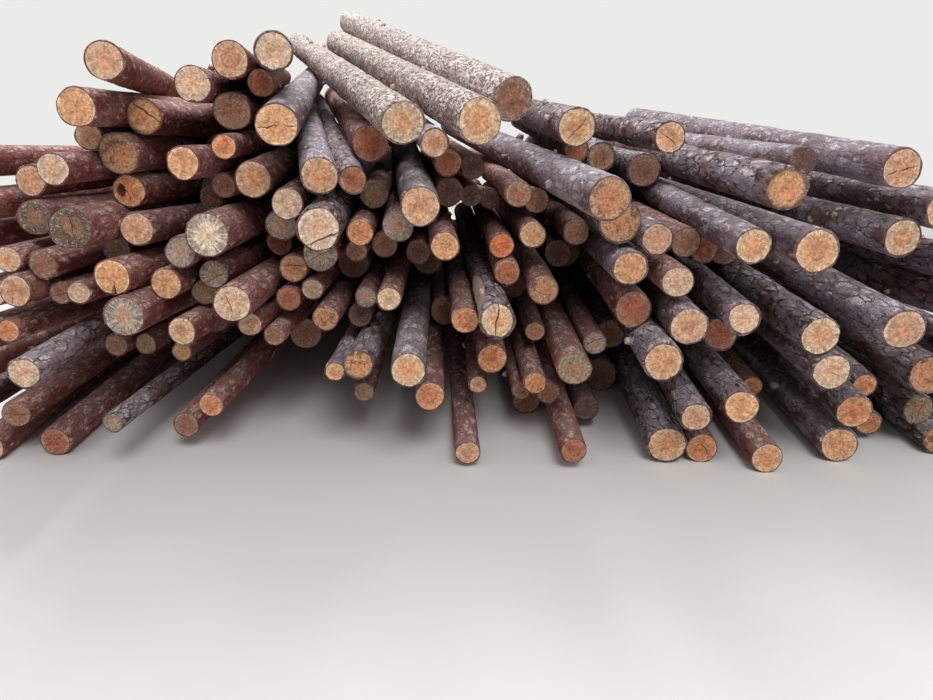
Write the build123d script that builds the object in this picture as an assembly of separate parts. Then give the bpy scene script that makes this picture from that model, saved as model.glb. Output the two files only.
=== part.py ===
"""A loose stack of round pine logs, dumped side by side, with their cut ends to the front.

Every log is a solid of its own: a straight tapered stem with cut ends, and branch stubs where they show.
The front ends are listed where they are seen; the stems are then settled so that they rest on each other.
"""
from build123d import *
import math
import os
import numpy as np

# Sizes of the whole stack, in millimetres.
LOG_LENGTH = 4000.0        # the length such stems are cut and sold in
LENGTH_SPREAD = 45.0       # how much a stem is longer or shorter than that
FAR_FACE = 4600.0          # stems that start deep in the stack are cut to end this far behind its face
GROWTH = 8.0               # how much wider the far end is, per metre of stem
SEAT_GAP = 0.3             # clearance that is left where two logs touch
SIZE_FACTOR = 1.0          # scales the diameters of all the logs together
STUB_TAPER = 0.8           # how thick a branch stub is at its broken end, against its root
STUB_LEAN = 0.35           # how far a stub leans towards the far end

# The front ends are read on an upright plane through the face of the stack, from one standing point.
EYE_HEIGHT = 1400.0        # height of the standing point over the ground
EYE_DISTANCE = 2600.0      # distance of the standing point from the face plane

# Each log: across, up, diameter (on the face plane, as seen), set back behind the plane,
# swing to the right and rise of the far end in degrees.
LEFT_TOP = [
    (-1241, 1555, 131, -60, -15.0, 0.6),
    (-1357, 1375, 138, 0, -1.5, 0.0),
    (-1107, 1388, 130, 150, -1.0, 0.5),
    (-944, 1499, 125, 60, -11.0, 1.5),
    (-811, 1569, 130, 60, -10.0, 1.0),
    (-696, 1567, 130, 110, -15.5, 4.2),
    (-1346, 1309, 100, 160, -1.0, 0.5),
    (-1219, 1265, 150, 100, -2.0, 0.5),
    (-1017, 1236, 119, 40, -2.0, 0.5),
    (-881, 1276, 86, 220, -2.0, 0.5),
    (-824, 1407, 128, 280, -9.0, 1.0),
    (-703, 1484, 98, 240, -14.5, 2.5),
]
LEFT_MIDDLE = [
    (-1568, 1170, 112, 140, -2.0, 0.0),
    (-1519, 1200, 119, -60, -2.0, 0.0),
    (-1225, 1150, 123, 140, -2.0, 0.0),
    (-885, 1160, 88, 330, -2.0, 0.5),
    (-927, 1096, 86, 380, -2.0, 0.5),
    (-1579, 1042, 135, -20, -2.0, 0.0),
    (-1477, 985, 155, -50, -1.0, 0.0),
    (-1217, 1003, 133, 0, -2.0, 0.0),
    (-972, 982, 158, 90, -2.0, 0.5),
    (-1068, 907, 121, 40, -2.0, 0.5),
    (-1306, 927, 108, 240, -1.0, 0.0),
    (-1717, 876, 105, 0, -2.0, 0.0),
    (-1595, 861, 111, 40, -2.0, 0.0),
]
LEFT_LOW = [
    (-1719, 762, 124, -40, -1.0, 0.0),
    (-1557, 753, 89, 100, -1.0, 0.0),
    (-1477, 753, 90, 0, -1.0, 0.0),
    (-1340, 814, 137, -50, 0.0, 0.0),
    (-1126, 784, 120, 40, -1.0, 0.0),
    (-955, 824, 111, 130, -1.0, 0.0),
    (-996, 746, 95, 330, -1.0, 0.0),
    (-1320, 662, 157, -120, 2.0, -1.0),
    (-1124, 607, 114, -40, 0.0, 0.0),
    (-893, 697, 145, -60, -1.0, 0.0),
    (-1812, 600, 95, -40, 0.0, 0.0),
    (-1367, 543, 90, 280, 0.0, 0.0),
    (-1253, 546, 82, 330, 0.0, 0.0),
    (-1114, 517, 80, 250, 0.0, 0.0),
    (-1734, 425, 131, -250, -4.5, 2.0),
    (-1436, 210, 89, -60, 1.0, 0.0),
    (-1029, 287, 99, 100, 0.0, 0.0),
    (-1140, 271, 105, 150, 0.0, 0.0),
]
MIDDLE_TOP = [
    (-707, 1388, 145, 90, -11.0, 4.8),
    (-536, 1186, 138, 0, -16.0, 8.5),
    (-425, 1170, 103, 180, -14.0, 6.0),
    (-346, 1301, 130, 320, -15.0, 6.0),
    (-237, 1364, 155, -50, -18.5, 6.9),
    (-224, 1360, 116, 620, -15.4, 8.4),
    (42, 1373, 165, 0, -17.0, 9.3),
    (142, 1444, 155, 160, -17.2, 11.8),
    (-110, 1302, 106, 140, -8.0, 4.0),
    (-45, 1231, 100, 330, -6.0, 3.0),
    (-2, 1224, 90, 430, -5.0, 3.0),
    (-774, 1175, 135, 140, -5.0, 2.0),
    (-682, 1086, 114, 140, -9.0, 2.5),
    (-48, 1122, 102, 380, -4.0, 2.0),
    (12, 1117, 80, 480, -3.0, 2.0),
    (90, 1115, 76, 560, -2.0, 2.0),
    (-159, 1074, 149, 0, -8.0, 3.0),
    (-335, 1122, 104, 330, -6.0, 2.0),
    (193, 1113, 100, 200, -2.0, 2.0),
    (252, 1107, 95, 330, -1.0, 2.0),
]
MIDDLE = [
    (-262, 1001, 118, 240, -5.0, 1.5),
    (-535, 994, 170, -110, -5.0, 1.5),
    (-526, 900, 134, 160, -5.0, 1.0),
    (-696, 1007, 115, 280, -4.0, 1.5),
    (-695, 950, 98, 420, -4.0, 1.0),
    (-397, 985, 104, 140, -5.0, 1.5),
    (-306, 940, 100, 400, -4.0, 1.0),
    (-424, 905, 80, 350, -4.0, 1.0),
    (-82, 931, 111, 90, -4.0, 1.5),
    (-174, 905, 90, 400, -3.0, 1.0),
    (-648, 844, 108, 240, -3.0, 0.5),
    (-585, 769, 88, 180, -3.0, 0.5),
    (-679, 731, 95, 240, -2.0, 0.5),
    (246, 991, 102, 240, -1.0, 1.5),
    (131, 930, 95, 280, -1.0, 1.5),
    (140, 822, 98, 350, -1.0, 1.0),
    (293, 765, 117, 140, 0.0, 1.0),
    (347, 904, 100, 600, 0.0, 1.0),
    (415, 994, 100, 430, 0.0, 1.5),
]
MIDDLE_LOW = [
    (-543, 654, 105, 140, -2.0, 0.0),
    (-816, 628, 96, 60, -1.0, 0.0),
    (-744, 573, 82, 190, -1.0, 0.0),
    (-396, 741, 86, 280, -3.0, 0.5),
    (-409, 662, 88, 400, -3.0, 0.0),
    (-296, 729, 95, 140, -5.0, 0.5),
    (-521, 432, 83, 50, -1.0, 0.0),
    (-429, 464, 127, -50, 0.0, 0.0),
    (-225, 437, 144, -130, -3.0, 0.0),
    (-146, 327, 120, 50, -2.0, 0.0),
    (-410, 345, 82, 240, -2.0, 0.0),
    (-2, 647, 108, 140, -2.0, 0.5),
    (116, 648, 150, -180, -2.0, 0.5),
    (100, 487, 118, 140, -1.0, 0.0),
    (6, 60, 105, 0, -2.5, 0.0),
    (46, 377, 76, 240, -1.0, 0.0),
    (268, 383, 95, 190, 0.0, 0.0),
    (221, 352, 80, 300, 0.0, 0.0),
    (328, 342, 96, 290, 0.0, 0.0),
    (265, 599, 80, 400, 0.0, 0.0),
    (426, 444, 136, 0, 0.0, 0.0),
    (496, 551, 93, 240, 1.0, 0.0),
    (446, 85, 112, 0, 0.0, 0.0),
    (484, 262, 102, 380, 0.0, 0.0),
]
RIGHT_TOP = [
    (421, 1335, 138, 140, -3.0, 4.5),
    (724, 1319, 115, 90, -2.0, 4.5),
    (385, 1235, 95, 350, -2.0, 4.0),
    (492, 1252, 105, 440, -1.0, 4.0),
    (1165, 1140, 160, -220, -0.5, 4.0),
    (1205, 1238, 105, 160, -2.0, 4.5),
    (1567, 1188, 148, 0, -1.0, 4.0),
    (1757, 1066, 145, 50, 0.0, 3.5),
]
RIGHT_MIDDLE = [
    (528, 1085, 158, -180, -8.5, 2.8),
    (562, 1010, 157, 110, -2.0, 2.5),
    (608, 847, 135, 50, 1.0, 2.0),
    (709, 958, 125, 50, 0.0, 2.5),
    (819, 947, 112, 240, 0.0, 2.5),
    (886, 922, 108, 290, 0.0, 2.5),
    (1069, 910, 139, -260, 1.0, 3.5),
    (1314, 914, 170, -180, 1.0, 3.5),
    (1616, 964, 150, -50, 1.0, 3.0),
    (641, 722, 145, 140, 2.0, 2.0),
    (801, 794, 123, 0, 2.0, 2.0),
    (860, 617, 153, -50, 3.0, 2.0),
    (1073, 642, 133, -100, 3.0, 2.5),
    (990, 589, 138, 150, 3.0, 2.0),
    (1390, 584, 168, -230, 3.0, 2.0),
    (1716, 606, 165, -180, 3.0, 2.0),
    (1990, 680, 150, -50, 3.0, 2.0),
]
RIGHT_LOW = [
    (776, 475, 162, -140, 3.0, 1.5),
    (828, 110, 163, 54, 3.0, 0.0),
    (929, 234, 130, -50, 4.0, 0.5),
    (1109, 280, 146, -90, 3.0, 1.0),
    (966, 79, 130, 30, 3.0, 0.0),
    (1244, 43, 132, -42, 3.0, 0.0),
    (1136, 367, 84, 340, 3.0, 0.5),
    (1445, 425, 153, -110, 3.0, 1.0),
    (1531, 97, 158, 34, 5.0, 0.0),
    (1569, 258, 143, 50, 4.0, 0.5),
    (1588, 370, 98, 200, 4.0, 0.5),
    (1635, 212, 105, 180, 4.0, 0.0),
    (1822, 414, 160, 50, 4.0, 1.0),
    (1850, 262, 130, 250, -4.0, 0.5),
]
# Stems whose front ends lie deep in the dark gaps, where they carry the ones that show.
HIDDEN = [
    (-876, 1288, 109, 920, -2.0, 0.5),
    (-908, 1138, 102, 920, -2.0, 0.5),
    (-1172, 1155, 102, 920, -2.0, 0.0),
    (-970, 650, 112, 550, 0.0, 0.0),
    (-625, 590, 120, 640, -1.0, 0.0),
    (-435, 865, 116, 730, -3.0, 0.5),
    (-149, 879, 111, 1010, -3.0, 1.0),
    (-85, 681, 108, 1010, -2.0, 0.0),
    (181, 785, 104, 1010, 0.0, 0.5),
    (367, 909, 116, 1240, 1.0, 1.0),
    (-235, 1330, 88, 1000, -14.0, 7.5),
    (255, 1254, 109, 1300, -2.0, 3.0),
    (463, 1238, 112, 1200, -1.0, 3.0),
    (647, 1202, 118, 1100, 0.0, 3.5),
    (1144, 1157, 128, 1050, 0.0, 3.5),
    (981, 907, 115, 1000, 2.0, 2.5),
    (1345, 790, 130, 750, 2.0, 2.5),
    (1028, 621, 121, 1000, 3.0, 1.0),
    (560, 585, 116, 840, 1.0, 0.0),
    (240, 290, 112, 550, 0.0, 0.0),
    (520, 400, 138, 770, 0.5, 0.0),
]
# The two ends of the stack slope down to the ground with a few more stems.
LEFT_SIDE = [
    (-1800, 1240, 118, 40, -2.0, 0.0),
    (-1800, 1085, 124, 20, -2.0, 0.0),
    (-1855, 960, 118, 60, -2.0, 0.0),
    (-1835, 760, 122, 40, -2.0, 0.0),
    (-1915, 580, 128, 20, -2.0, 0.0),
    (-2015, 420, 122, 60, -2.0, 0.0),
    (-1855, 250, 116, 90, -1.5, 0.0),
    (-1715, 110, 124, 110, -1.5, 0.0),
    (-2115, 240, 112, 40, -2.5, 0.0),
    (-1995, 90, 126, 60, -2.0, 0.0),
]
RIGHT_SIDE = [
    (1900, 850, 140, 40, 2.0, 2.5),
    (2060, 470, 146, 20, 3.0, 1.0),
    (2010, 290, 134, 120, 3.0, 0.5),
    (2230, 300, 128, 60, 3.5, 0.5),
    (1930, 110, 138, 80, 3.0, 0.0),
    (2120, 100, 136, 100, 3.0, 0.0),
    (2150, 640, 132, 80, 3.0, 1.5),
]
# Neighbours share a node, so many logs to each.
GROUPS = [
    ("left_top", LEFT_TOP, 6),
    ("left_middle", LEFT_MIDDLE, 7),
    ("left_low", LEFT_LOW, 6),
    ("middle_top", MIDDLE_TOP, 7),
    ("middle", MIDDLE, 7),
    ("middle_low", MIDDLE_LOW, 8),
    ("right_top", RIGHT_TOP, 4),
    ("right_middle", RIGHT_MIDDLE, 6),
    ("right_low", RIGHT_LOW, 5),
    ("inner", HIDDEN, 12),
    ("left_side", LEFT_SIDE, 10),
    ("right_side", RIGHT_SIDE, 7),
]

# Stubs of broken branches that show: list, place in it, distance from the front end, direction round the
# stem in degrees from the top to the right, diameter and height over the bark.
STUBS = [
    (RIGHT_LOW, 8, 560, -62, 34, 26),
    (MIDDLE_LOW, 12, 620, 78, 34, 24),
    (RIGHT_LOW, 0, 230, -80, 30, 24),
    (RIGHT_MIDDLE, 0, 1500, 25, 34, 16),
]

# How the stems are settled.
SETTLE_ROUNDS = 1400
HOLD_FRONT = 0.05          # pull of a front end to where it was seen, per round
HOLD_BACK = 0.012          # pull of a far end, which nobody sees, per round
SLIDE = 130.0              # how far a front end may slide along the line of sight
SLIDE_EASE = 0.02
FRONT_WEIGHT = 0.12        # how easily a front end gives way, against 1 for a far end
FRONT_DROP = 18.0          # how far a front end may sink to its seat
HEAD_START = 13.0          # the front ends start this much higher, to end where they were seen
NEAR_REACH = 340.0         # logs further off than this are left out of a few rounds
PAIR_REACH = 150.0         # room between two logs up to which they are watched for touching
FALL_START = 5.0           # first step of a stem's fall, and how it eases off
FALL_EASE = 0.965
FALL_ROUNDS = 150
CLEAR_ROUNDS = 500
JOIN_ROUNDS = 80           # most steps of the slide that brings lone groups to the others
TOUCH = 0.8                # logs nearer than this count as touching


def listed_logs():
    """Turns the lists into end points and radii, and names the node of each log."""
    fronts, backs, front_radii, back_radii, names, stubs = [], [], [], [], [], []
    count = 0
    for group, rows, share in GROUPS:
        for place, row in enumerate(rows):
            across, up, size, set_back, swing, rise = row
            name = f"{group}_logs_{place // share + 1}"
            depth = (EYE_DISTANCE + set_back) / EYE_DISTANCE
            radius = size * depth * SIZE_FACTOR / 2
            x = across * depth
            z = EYE_HEIGHT + (up - EYE_HEIGHT) * depth + HEAD_START
            turn = math.radians(swing)
            lift = math.radians(rise)
            length = LOG_LENGTH + LENGTH_SPREAD * math.sin(2.4 * count)
            length = min(length, FAR_FACE - set_back)
            spread = 1.0 + 0.4 * math.sin(1.7 * count + 0.6)
            grown = GROWTH * LOG_LENGTH / 1000 * spread / 2
            run = length * math.cos(lift)
            fronts.append((x, set_back, z))
            backs.append((x + run * math.sin(turn), set_back + run * math.cos(turn), z + length * math.sin(lift)))
            front_radii.append(radius)
            back_radii.append(max(radius + grown, 40.0))
            names.append(name)
            stubs.append([stub[2:] for stub in STUBS if stub[0] is rows and stub[1] == place])
            count += 1
    ends = np.array(fronts, float), np.array(backs, float)
    return (*ends, np.array(front_radii), np.array(back_radii), names, stubs)


def near_pairs(front, back, radius):
    """Ordered pairs of logs that may touch each other."""
    reach = radius[:, None] + radius[None, :] + PAIR_REACH
    near = np.zeros((len(front), len(front)), bool)
    for part in (0.0, 0.2, 0.4, 0.6, 0.8, 1.0):
        place = front + part * (back - front)
        near |= np.linalg.norm(place[:, None, ::2] - place[None, :, ::2], axis=2) < reach
    np.fill_diagonal(near, False)
    return np.nonzero(near)


def crossing(front_a, stem_a, front_b, stem_b):
    """Where along logs a the middle lines of a and b pass nearest to each other."""
    aa = np.sum(stem_a * stem_a, axis=1)
    bb = np.sum(stem_b * stem_b, axis=1)
    ab = np.sum(stem_a * stem_b, axis=1)
    gap = front_a - front_b
    skew = np.maximum(aa * bb - ab * ab, 1.0)
    t = (ab * np.sum(stem_b * gap, axis=1) - bb * np.sum(stem_a * gap, axis=1)) / skew
    return np.clip(t, 0.0, 1.0)


def contact(front_a, back_a, ra0, ra1, front_b, back_b, rb0, rb1, steps):
    """Clearance between points along logs a and the nearest places on logs b."""
    stem_a = back_a - front_a
    stem_b = back_b - front_b
    t = np.repeat(steps[None, :], len(stem_a), axis=0)
    t = np.concatenate([t, crossing(front_a, stem_a, front_b, stem_b)[:, None]], axis=1)
    point = front_a[:, None, :] + t[:, :, None] * stem_a[:, None, :]
    span = np.sum(stem_b * stem_b, axis=1)
    s = np.sum((point - front_b[:, None, :]) * stem_b[:, None, :], axis=2) / span[:, None]
    s = np.clip(s, 0.0, 1.0)
    other = front_b[:, None, :] + s[:, :, None] * stem_b[:, None, :]
    away = point - other
    far = np.linalg.norm(away, axis=2)
    room = far - (ra0[:, None] + t * (ra1 - ra0)[:, None]) - (rb0[:, None] + s * (rb1 - rb0)[:, None])
    normal = away / np.maximum(far, 1e-6)[:, :, None]
    return room, normal, t, s


def relax(front, back, r0, r1, length):
    """Pushes overlapping stems apart while their seen ends are held."""
    first_front = front.copy()
    seen_front = front.copy()
    seen_back = back.copy()
    sight = (front - np.array([0.0, 0.0, EYE_HEIGHT])) / (EYE_DISTANCE + front[:, 1:2])
    sight[:, 1] = 1.0
    slope = sight[:, ::2]
    steps = np.linspace(0.0, 1.0, 9)
    for turn in range(int(SETTLE_ROUNDS)):
        if turn % 40 == 0:
            a, b = near_pairs(front, back, np.maximum(r0, r1))
        ease = max(0.0, 1.0 - turn / (0.75 * SETTLE_ROUNDS))
        off = np.sum((front - first_front)[:, ::2] * slope, axis=1)
        slide = np.clip(off / (np.sum(slope * slope, axis=1) + SLIDE_EASE), -SLIDE, SLIDE)
        seen_front = first_front + sight * slide[:, None]
        front += (seen_front - front) * HOLD_FRONT * ease
        back += (seen_back - back) * HOLD_BACK * ease
        back[:, 2] -= 0.6 * ease
        room, normal, t, s = contact(front[a], back[a], r0[a], r1[a], front[b], back[b], r0[b], r1[b], steps)
        move_front = np.zeros_like(front)
        move_back = np.zeros_like(back)
        hits = np.zeros(len(front))
        for half in (t <= 0.5, t >= 0.5):
            part = np.where(half, room, 1e9)
            k = np.argmin(part, axis=1)
            rows = np.arange(len(a))
            gap = part[rows, k] - SEAT_GAP
            hit = gap < 0
            if not hit.any():
                continue
            rows = rows[hit]
            k = k[hit]
            push = -gap[hit]
            w = t[rows, k]
            u = s[rows, k]
            n = normal[rows, k]
            ia, ib = a[rows], b[rows]
            give = FRONT_WEIGHT * ((1 - w) ** 2 + (1 - u) ** 2) + w ** 2 + u ** 2
            push = push / np.maximum(give, 0.05)
            np.add.at(move_front, ia, (push * FRONT_WEIGHT * (1 - w))[:, None] * n)
            np.add.at(move_back, ia, (push * w)[:, None] * n)
            np.add.at(move_front, ib, -(push * FRONT_WEIGHT * (1 - u))[:, None] * n)
            np.add.at(move_back, ib, -(push * u)[:, None] * n)
            np.add.at(hits, ia, 1)
            np.add.at(hits, ib, 1)
        share = (1.25 / np.maximum(hits, 1.0) ** 0.75)[:, None]
        front += move_front * share
        back += move_back * share
        front[:, 2] = np.maximum(front[:, 2], r0 + SEAT_GAP)
        back[:, 2] = np.maximum(back[:, 2], r1 + SEAT_GAP)
        front[:, 1] = seen_front[:, 1]
        stem = back - front
        back = front + stem * (length / np.linalg.norm(stem, axis=1))[:, None]
    return front, back


def clearance(front, back, i, placed, r0, r1, steps):
    """Least room between log i and the logs already placed, with where and in which direction."""
    n = len(placed)
    if n == 0:
        return np.full((0, 0), 1e9), None, None
    rep = np.full(n, i)
    one = contact(front[rep], back[rep], r0[rep], r1[rep], front[placed], back[placed], r0[placed], r1[placed], steps)
    two = contact(front[placed], back[placed], r0[placed], r1[placed], front[rep], back[rep], r0[rep], r1[rep], steps)
    room = np.concatenate([one[0], two[0]], axis=1)
    normal = np.concatenate([one[1], -two[1]], axis=1)
    place = np.concatenate([one[2], two[3]], axis=1)
    return room, normal, place


def nearest(front, back, i, placed, r0, r1):
    """Those of the placed logs that log i could reach in a few rounds."""
    near = np.array(placed, int)
    room, normal, place = clearance(front, back, i, near, r0, r1, np.linspace(0.0, 1.0, 9))
    if room.size:
        near = near[room.min(axis=1) < NEAR_REACH]
    return near


def seat(front, back, r0, r1, length):
    """Places the logs one by one, lowest first, each on those that lie there already."""
    order = np.argsort(front[:, 2] + back[:, 2])
    steps = np.linspace(0.0, 1.0, 25)
    placed = []
    for i in order:
        start = front[i].copy()
        near = nearest(front, back, i, placed, r0, r1)
        ease = FALL_START
        free = 0.0
        for attempt in range(int(FALL_ROUNDS + CLEAR_ROUNDS)):
            if attempt % 25 == 24:
                near = nearest(front, back, i, placed, r0, r1)
            falling = attempt < FALL_ROUNDS
            if falling:
                fall = max(ease, min(0.8 * free, 12.0))
                front[i, 2] -= fall * 0.5
                back[i, 2] -= fall
                ease *= FALL_EASE
                front[i, 2] = max(front[i, 2], start[2] - FRONT_DROP)
            front[i, 2] = max(front[i, 2], r0[i] + SEAT_GAP)
            back[i, 2] = max(back[i, 2], r1[i] + SEAT_GAP)
            room, normal, place = clearance(front, back, i, near, r0, r1, steps)
            if room.size == 0:
                break
            worst = np.argmin(room, axis=1)
            rows = np.arange(len(near))
            least = room[rows, worst]
            free = min(least.min(), back[i, 2] - r1[i]) - SEAT_GAP
            if not falling and least.min() > SEAT_GAP - 0.02:
                break
            late = attempt > FALL_ROUNDS + CLEAR_ROUNDS // 3
            for row in rows[least < SEAT_GAP]:
                t = place[row, worst[row]]
                n = normal[row, worst[row]].copy()
                n[1] = 0.0
                n[2] += 0.5 if late else 0.0
                n /= max(np.linalg.norm(n), 1e-6)
                weight = 1.0 if late else 0.4
                give = weight * (1 - t) ** 2 + t ** 2
                push = (SEAT_GAP - least[row] + 0.02) * 0.6 / max(give, 0.1)
                front[i] += n * push * weight * (1 - t)
                back[i] += n * push * t
            stem = back[i] - front[i]
            back[i] = front[i] + stem * length[i] / np.linalg.norm(stem)
        near = nearest(front, back, i, placed, r0, r1)
        for touch in range(60):
            room, normal, place = clearance(front, back, i, near, r0, r1, steps)
            free = min(front[i, 2] - r0[i], back[i, 2] - r1[i], room.min() if room.size else 1e9) - SEAT_GAP
            if -0.02 < free < 0.1:
                break
            front[i, 2] -= free
            back[i, 2] -= free
        placed.append(i)
    return join(front, back, r0, r1)


def join(front, back, r0, r1):
    """Slides the logs of a group that lies apart, all together, up to their neighbours."""
    steps = np.linspace(0.0, 1.0, 41)
    for turn in range(int(JOIN_ROUNDS)):
        a, b = near_pairs(front, back, np.maximum(r0, r1))
        room, normal, t, s = contact(front[a], back[a], r0[a], r1[a], front[b], back[b], r0[b], r1[b], steps)
        least = room.min(axis=1)
        group = np.arange(len(front))
        for i, j in zip(a[least < TOUCH], b[least < TOUCH]):
            group[group == group[i]] = group[j]
        numbers, sizes = np.unique(group, return_counts=True)
        if len(numbers) == 1:
            break
        lone = group == numbers[np.argmin(sizes)]
        apart = np.where(lone[a] & ~lone[b], least, 1e9)
        row = np.argmin(apart)
        away = normal[row, np.argmin(room[row])]
        slide = (apart[row] - SEAT_GAP) * (-1.0 if away[0] > 0 else 1.0)
        front[lone, 0] += slide
        back[lone, 0] += slide
    return front, back


def build_log(front, back, r0, r1, stubs):
    """One straight tapered stem between its two cut ends, with its stubs of branches."""
    start = Vector(*front)
    stem = Vector(*back) - start
    length = stem.length
    forward = stem.normalized()
    right = Vector(stem.Y, -stem.X, 0).normalized()
    top = right.cross(forward)
    log = Solid.make_cone(r0, r1, length, Plane(origin=start, z_dir=forward))
    for along, around, size, reach in stubs:
        turn = math.radians(around)
        out = top * math.cos(turn) + right * math.sin(turn)
        bark = r0 + (r1 - r0) * along / length
        root = start + forward * along + out * (bark - size)
        lean = out + forward * STUB_LEAN
        stub = Solid.make_cone(size / 2, STUB_TAPER * size / 2, size + reach, Plane(origin=root, z_dir=lean))
        log = log.fuse(stub)
    return log.solid() if stubs else log


def main():
    front, back, r0, r1, names, stubs = listed_logs()
    length = np.linalg.norm(back - front, axis=1)
    front, back = relax(front, back, r0, r1, length)
    front, back = seat(front, back, r0, r1, length)
    solids = [build_log(front[i], back[i], r0[i], r1[i], stubs[i]) for i in range(len(names))]
    whole = Compound(children=list(solids))
    box = whole.bounding_box()
    shift = Vector(-(box.min.X + box.max.X) / 2, -(box.min.Y + box.max.Y) / 2, -box.min.Z)
    os.makedirs("parts", exist_ok=True)
    for name in sorted(set(names)):
        members = [solids[i].moved(Location(shift)) for i in range(len(names)) if names[i] == name]
        export_step(Compound(children=members), f"parts/{name}.step")
    print("logs", len(names), "shift", shift, "size", box.size)


main()
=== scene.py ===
# Stack of logs: bark relief, sawn ends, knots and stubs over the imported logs, with floor, light and camera.
import math
import random
import bpy
import bmesh
import numpy as np
from mathutils import Matrix, Vector


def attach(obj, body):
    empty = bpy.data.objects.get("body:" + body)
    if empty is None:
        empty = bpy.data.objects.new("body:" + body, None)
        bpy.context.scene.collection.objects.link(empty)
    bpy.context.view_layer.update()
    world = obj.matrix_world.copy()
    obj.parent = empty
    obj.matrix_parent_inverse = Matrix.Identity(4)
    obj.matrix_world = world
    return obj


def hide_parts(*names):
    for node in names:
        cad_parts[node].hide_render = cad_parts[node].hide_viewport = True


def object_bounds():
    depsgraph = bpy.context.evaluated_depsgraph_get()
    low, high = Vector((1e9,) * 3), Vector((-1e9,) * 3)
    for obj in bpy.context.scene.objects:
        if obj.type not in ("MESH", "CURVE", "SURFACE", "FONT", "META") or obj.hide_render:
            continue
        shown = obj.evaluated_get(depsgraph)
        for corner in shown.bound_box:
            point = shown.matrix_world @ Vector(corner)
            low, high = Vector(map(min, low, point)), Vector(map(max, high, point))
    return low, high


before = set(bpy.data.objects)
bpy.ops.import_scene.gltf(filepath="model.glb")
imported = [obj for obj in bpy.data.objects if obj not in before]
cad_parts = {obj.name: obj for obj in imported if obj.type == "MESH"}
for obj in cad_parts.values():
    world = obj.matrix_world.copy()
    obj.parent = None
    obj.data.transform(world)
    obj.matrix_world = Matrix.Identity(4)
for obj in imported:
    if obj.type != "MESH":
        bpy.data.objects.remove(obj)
cadLow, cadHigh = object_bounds()
print("frame loaded")

# What a log's skin is like: tones, how plated and how flaky it is, and lengths in metres. The palest tone is
# both the dry flakes and the painted light on the upper side.
barks = {
    "red": {
        "tone": (166, 112, 108), "patch": (138, 72, 66), "dustAndLitTop": (224, 190, 182),
        "plates": 0.7, "flakes": 0.75, "depth": 0.0024, "cell": 0.026, "long": 2.2, "thick": 0.0040,
    },
    "grey": {
        "tone": (146, 130, 138), "patch": (112, 84, 84), "dustAndLitTop": (208, 198, 202),
        "plates": 1.0, "flakes": 0.65, "depth": 0.0040, "cell": 0.030, "long": 2.4, "thick": 0.0060,
    },
    "lilac": {
        "tone": (160, 146, 158), "patch": (122, 94, 98), "dustAndLitTop": (214, 206, 212),
        "plates": 0.7, "flakes": 0.6, "depth": 0.0028, "cell": 0.028, "long": 2.0, "thick": 0.0050,
    },
    "scaly": {
        "tone": (142, 128, 138), "patch": (118, 86, 86), "dustAndLitTop": (204, 194, 198),
        "plates": 1.15, "flakes": 0.6, "depth": 0.0058, "cell": 0.034, "long": 2.6, "thick": 0.0075,
    },
    # pale bleached bark toned as it looks in sunlight: partly its own colour and partly painted light
    "cream": {
        "tone": (220, 202, 194), "patch": (182, 150, 142), "dustAndLitTop": (240, 230, 222),
        "plates": 0.4, "flakes": 1.0, "depth": 0.0028, "cell": 0.022, "long": 1.2, "thick": 0.0050,
    },
    # red bark toned as it looks in shade: painted shade
    "dark": {
        "tone": (84, 64, 66), "patch": (96, 66, 62), "dustAndLitTop": (130, 112, 114),
        "plates": 0.6, "flakes": 0.2, "depth": 0.0030, "cell": 0.028, "long": 2.2, "thick": 0.0050,
    },
}

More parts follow.
